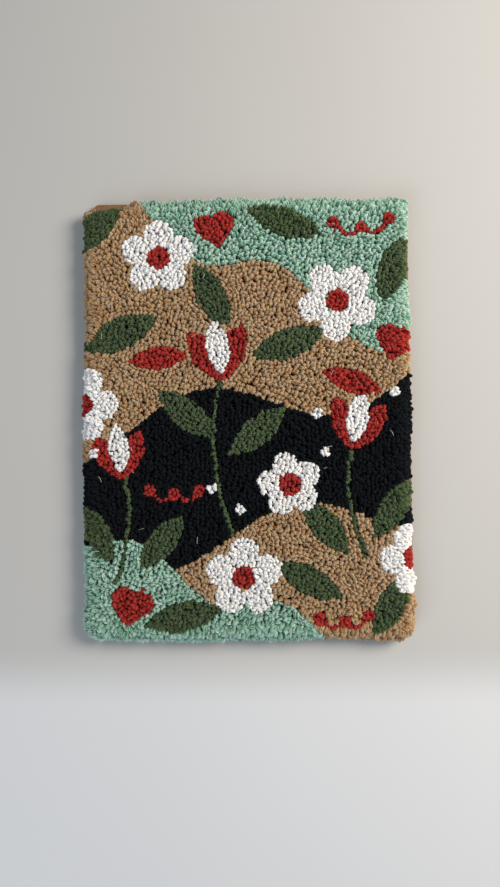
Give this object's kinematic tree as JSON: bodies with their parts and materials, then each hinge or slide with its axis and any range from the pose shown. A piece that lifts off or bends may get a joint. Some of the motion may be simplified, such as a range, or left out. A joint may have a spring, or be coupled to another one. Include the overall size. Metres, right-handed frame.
{
  "type": "punch needle wall piece",
  "caption": "Upright rectangular panel of looped yarn pile worked by punch needle on a woven cloth and glued to a thin brown board.",
  "frame": {"origin": "middle of the panel's outline, on the back face that it rests on", "axes": "X across the picture to its right, +Y towards the picture's top edge, +Z out of the looped face"},
  "size_m": [0.1854, 0.2504, 0.0129],
  "materials": {
    "hardboard": "thin brown hardboard, smooth and slightly waxy face, plain back",
    "woven_cloth": "cream even weave cotton foundation cloth",
    "yarn": "matte plied yarn in camel, in uncut loops",
    "yarn_black": "matte plied yarn in black, in uncut loops",
    "yarn_mint": "matte plied yarn in mint green, in uncut loops",
    "yarn_green": "matte plied yarn in leaf green, in uncut loops",
    "yarn_red": "matte plied yarn in brick red, in uncut loops",
    "yarn_white": "matte plied yarn in off white, in uncut loops"
  },
  "bodies": {
    "root": {"backing_board": "hardboard", "foundation_cloth": "woven_cloth", "yarn_pile": "yarn"}
  },
  "joints": []
}
